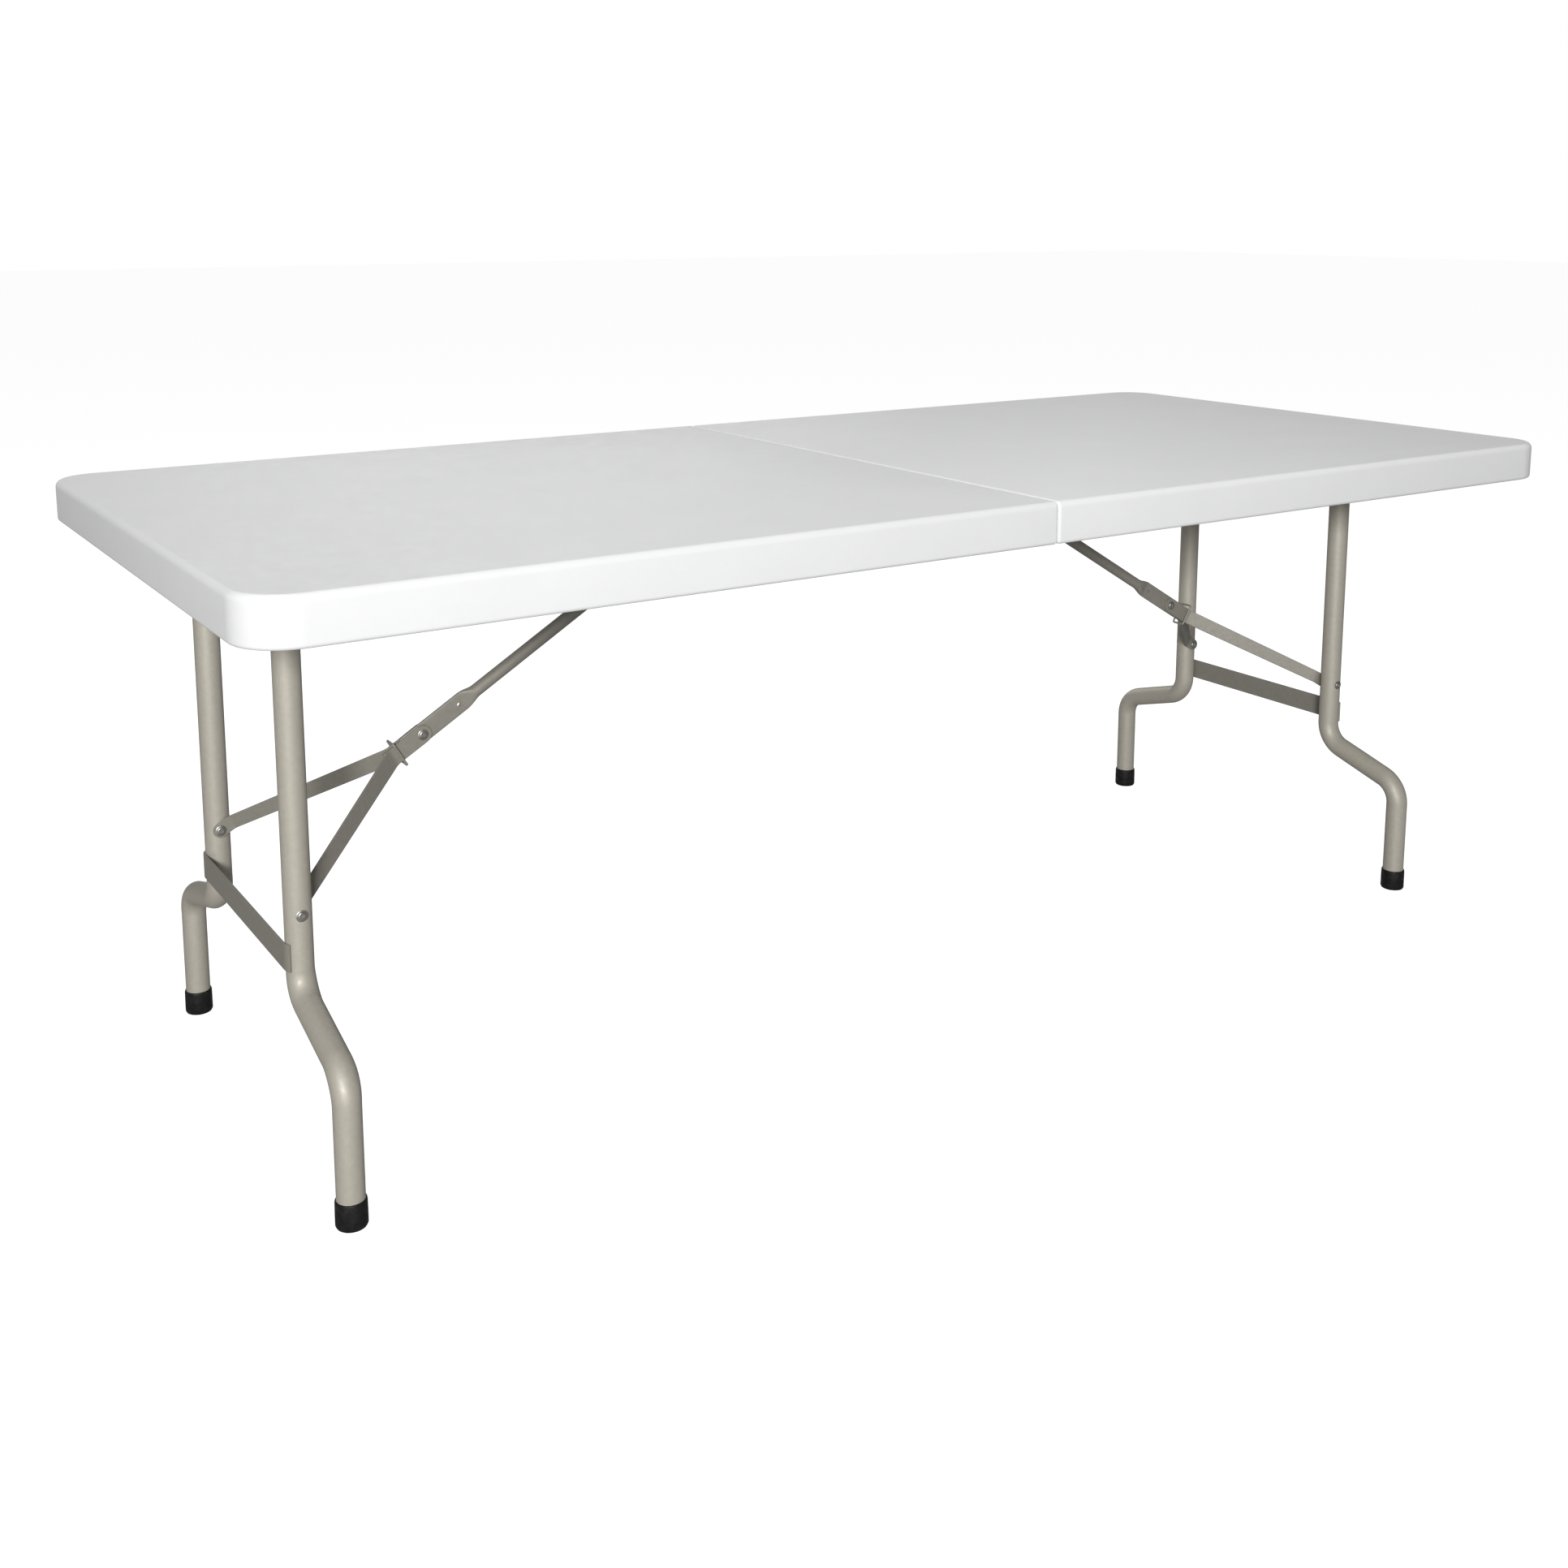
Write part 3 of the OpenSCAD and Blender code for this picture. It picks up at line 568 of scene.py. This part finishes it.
def brace_place(side, row=1):
    """Puts (u, y, w) points of the brace in the frame: u from the knuckle towards the legs."""
    cos_a, sin_a = math.cos(brace_angle), math.sin(brace_angle)

    def place(p):
        x = knuckle.x + p.x * cos_a - p.z * sin_a
        z = knuckle.z - p.x * sin_a - p.z * cos_a
        return Vector((side * x, row * p.y, z))
    return place


def build_yoke(side_name, row_name):
    inner = yoke_low[1] + yoke_t / 2
    outer = yoke_high[1] - yoke_t / 2
    start_r = yoke_w / 2
    end_r = yoke_end_w / 2
    path = soften([(-start_r, inner), (yoke_side_l, inner), (yoke_l - yoke_tab_l, outer), (yoke_l + end_r, outer)], 5 * MM)
    rings = bar_rings(path, tapered(path_length(path), start_r, end_r), yoke_t)
    bm = bmesh.new()
    loft(bm, rings, brace_place(SIDES[side_name], ROWS[row_name]))
    # The yoke bars take the darkened copy of the frame paint: painted shade.
    new_piece(f"yoke_bar_{row_name}_{side_name}", bm, "frame_paint", side_name + "_yoke",
              [f"yoke_{row_name}_{side_name}"], frame_paint_painted_shade, sharp=30)


def build_strap(side_name):
    """The flat strap across the legs, with ends that wrap round them."""
    side = SIDES[side_name]
    radius = leg_r + strap_t / 2
    wrap_angle = 38
    wrap = [(leg_x + radius * math.cos(a), leg_y + radius * math.sin(a)) for a in arc(wrap_angle, 0, 12)]
    path = wrap + [(x, -y) for x, y in reversed(wrap)]
    rings = bar_rings(path, lambda at: strap_h / 2, strap_t)
    bm = bmesh.new()
    loft(bm, rings, lambda p: Vector((side * p.x, p.y, kink_z + strap_h / 2 + p.z)))
    # The strap takes the darkened copy of the frame paint: painted shade.
    new_piece("leg_strap_" + side_name, bm, "frame_paint", side_name + "_legs", ["cross_strap_" + side_name],
              frame_paint_painted_shade, sharp=30)


def build_strut(side_name):
    """A round tube, flattened at the bracket and into the wide knuckle, with a narrow tongue."""
    flat = flat_t / 2
    crimp = 22 * MM
    knuckle_l = 65 * MM
    shoulder = 24 * MM
    neck = 31 * MM
    tongue = 54 * MM
    end_flat = strut_l - 30 * MM

    def section(u):
        at_end = smooth((-u - (end_flat - crimp)) / crimp)
        at_knuckle = smooth((u + knuckle_l + crimp) / crimp)
        flattened = max(at_end, at_knuckle)
        wide_end = strut_end_r if at_end else flat_w / 2
        half_w = strut_r + (wide_end - strut_r) * flattened
        if u > shoulder:
            half_w += (neck_w - flat_w) / 2 * smooth((u - shoulder) / (neck - shoulder))
        tip = strut_l + strut_end_r + u
        if tip < strut_end_r:
            half_w = max(math.sqrt(max(strut_end_r ** 2 - (strut_end_r - tip) ** 2, 0)), bar_edge)
        return half_w, strut_r + (flat - strut_r) * flattened, 2 + 5 * flattened

    marks = [-strut_l - strut_end_r + strut_end_r * (1 - math.cos(a)) for a in arc(6, 90, 8)]
    marks += [-end_flat + crimp * k / 10 for k in range(0, 11)]
    marks += [-knuckle_l - crimp + crimp * k / 10 for k in range(0, 11)]
    marks += [shoulder + (neck - shoulder) * k / 6 for k in range(0, 7)] + [tongue - bar_edge, tongue]
    rings = []
    for u in marks:
        half_w, half_t, power = section(u)
        pull = bar_edge if u == tongue else 0
        ring = []
        for k in range(40):
            a = 2 * math.pi * k / 40
            c, s = math.cos(a), math.sin(a)
            ring.append((u, math.copysign(abs(s) ** (2 / power), s) * (half_t - pull),
                         math.copysign(abs(c) ** (2 / power), c) * (half_w - pull)))
        rings.append(ring)
    bm = bmesh.new()
    loft(bm, rings, brace_place(SIDES[side_name]))
    # The strut takes the darkened copy of the frame paint: painted shade.
    piece = new_piece("brace_strut_" + side_name, bm, "frame_paint", side_name + "_strut", ["strut_" + side_name],
                      frame_paint_painted_shade, sharp=35)
    hole = bmesh.new()
    centre = brace_place(SIDES[side_name])(Vector((-knuckle_l + 6 * MM, 0, 0)))
    lathe(hole, [(2.5 * MM, -10 * MM), (2.5 * MM, 10 * MM)], centre, (0, 1, 0), steps=24)
    cut(piece, [hole])
    piece.data.shade_smooth()
    piece.data.set_sharp_from_angle(angle=math.radians(35))


# ---- rivets ----------------------------------------------------------------

def rivet_head(radius, height):
    """Profile of a semi-tubular rivet's head from its rim to its hollow middle."""
    return [(radius, 0), (radius, height * 0.25), (radius - 0.6 * MM, height * 0.45), (radius * 0.72, height * 0.5),
            (radius * 0.64, height * 0.9), (radius * 0.45, height), (radius * 0.28, height * 0.95),
            (radius * 0.2, height * 0.5), (0.05 * MM, height * 0.45)]


def build_rivets(name, slot, body, stands_for, heads):
    """One piece of several rivets; each head is (centre under it, outward axis, shank length)."""
    bm = bmesh.new()
    for centre, axis, shank in heads:
        profile = [(0.05 * MM, -shank), (rivet_r, -shank), (rivet_r, 0)] + rivet_head(head_r, head_h)
        lathe(bm, profile, centre, axis, steps=32)
    new_piece(name, bm, slot, body, stands_for, sharp=50)


def build_side_rivets(side_name):
    side = SIDES[side_name]
    rivet_z = knuckle.z - yoke_l * math.sin(brace_angle)
    outer = leg_y + leg_r - 0.6 * MM
    build_rivets("leg_studs_" + side_name, "zinc", side_name + "_legs", ["leg_rivets_" + side_name],
                 [((side * leg_x, row * outer, rivet_z), (0, row, 0), 6 * MM) for row in ROWS.values()])
    inner = yoke_high[1] - yoke_t
    build_rivets("yoke_studs_" + side_name, "zinc", side_name + "_yoke", ["yoke_rivets_" + side_name],
                 [((side * leg_x, row * inner, rivet_z), (0, -row, 0), 2 * MM) for row in ROWS.values()])
    low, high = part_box("knuckle_rivet_" + side_name)
    reach = high[1] - head_h
    build_rivets("knuckle_stud_" + side_name, "zinc", side_name + "_strut", ["knuckle_rivet_" + side_name],
                 [((side * knuckle.x, row * reach, knuckle.z), (0, row, 0), reach - 0.2 * MM) for row in ROWS.values()])


# ---- build -----------------------------------------------------------------

for side_name, side in SIDES.items():
    build_top(side_name, side)
    build_strap(side_name)
    build_strut(side_name)
    build_side_rivets(side_name)
    for row_name in ROWS:
        build_leg(side_name, row_name)
        build_foot(side_name, row_name)
        build_yoke(side_name, row_name)

# ---- floor, light and camera -----------------------------------------------

def build_floor():
    mesh = bpy.data.meshes.new("studio_floor")
    reach = 30.0
    mesh.from_pydata([(-reach, -reach, 0), (reach, -reach, 0), (reach, reach, 0), (-reach, reach, 0)], [], [(0, 1, 2, 3)])
    floor = bpy.data.objects.new("studio_floor", mesh)
    bpy.context.scene.collection.objects.link(floor)
    material, tree, shader, coords = new_material("studio_floor", 0.0)
    shader.inputs["Base Color"].default_value = (0.4, 0.4, 0.4, 1)
    shader.inputs["Roughness"].default_value = 0.9
    shader.inputs["Specular IOR Level"].default_value = 0.1
    shader.inputs["Emission Color"].default_value = (1, 1, 1, 1)
    lift = node(tree, "Math", {"operation": "MULTIPLY"})
    tree.links.new(tree.nodes.new("ShaderNodeLightPath").outputs["Is Camera Ray"], lift.inputs[0])
    lift.inputs[1].default_value = 0.9
    tree.links.new(lift.outputs[0], shader.inputs["Emission Strength"])
    mesh.materials.append(material)


def build_light(name, position, target, size, power):
    light = bpy.data.lights.new(name, "AREA")
    light.shape = "RECTANGLE"
    light.size, light.size_y = size
    light.energy = power
    holder = bpy.data.objects.new(name, light)
    bpy.context.scene.collection.objects.link(holder)
    holder.location = position
    aim = Vector(target) - Vector(position)
    holder.rotation_euler = aim.to_track_quat("-Z", "Y").to_euler()


def build_world():
    """An even pale surround, white where the camera sees it."""
    world = bpy.data.worlds.new("studio")
    bpy.context.scene.world = world
    world.use_nodes = True
    tree = world.node_tree
    surround = tree.nodes["Background"]
    surround.inputs["Color"].default_value = (1, 1, 1, 1)
    surround.inputs["Strength"].default_value = 0.17
    seen = node(tree, "Background", Color=(1, 1, 1, 1), Strength=1.0)
    choose = node(tree, "MixShader")
    path = node(tree, "LightPath")
    tree.links.new(path.outputs["Is Camera Ray"], choose.inputs["Fac"])
    tree.links.new(surround.outputs[0], choose.inputs[1])
    tree.links.new(seen.outputs[0], choose.inputs[2])
    tree.links.new(choose.outputs[0], tree.nodes["World Output"].inputs["Surface"])


def build_camera():
    sensor = 36.0
    heading, pitch = 0.579, 0.160
    ahead = Vector((math.sin(heading) * math.cos(pitch), math.cos(heading) * math.cos(pitch), -math.sin(pitch)))
    right = Vector((math.cos(heading), -math.sin(heading), 0))
    up = right.cross(ahead)
    camera = bpy.data.objects.new("camera", bpy.data.cameras.new("camera"))
    camera.data.sensor_width = sensor
    camera.data.lens = 40.09
    camera.data.shift_y = -0.1894
    camera.data.clip_end = 100
    turn = Matrix((right, up, -ahead)).transposed().to_4x4()
    camera.matrix_world = Matrix.Translation((-1.4402, -2.0347, 1.0994)) @ turn
    bpy.context.scene.collection.objects.link(camera)
    bpy.context.scene.camera = camera


build_floor()
build_light("key", (-3.7, -5.35, 2.4), (0, 0, 0.6), (1.4, 0.95), 410)
build_light("ceiling", (0, 0.3, 3.4), (0, 0.3, 0), (4.5, 3.0), 42)
build_light("back", (1.2, 4.0, 1.8), (0, 0, 0.5), (2.5, 1.5), 38)
build_world()
build_camera()
bpy.context.scene.view_settings.view_transform = "Standard"
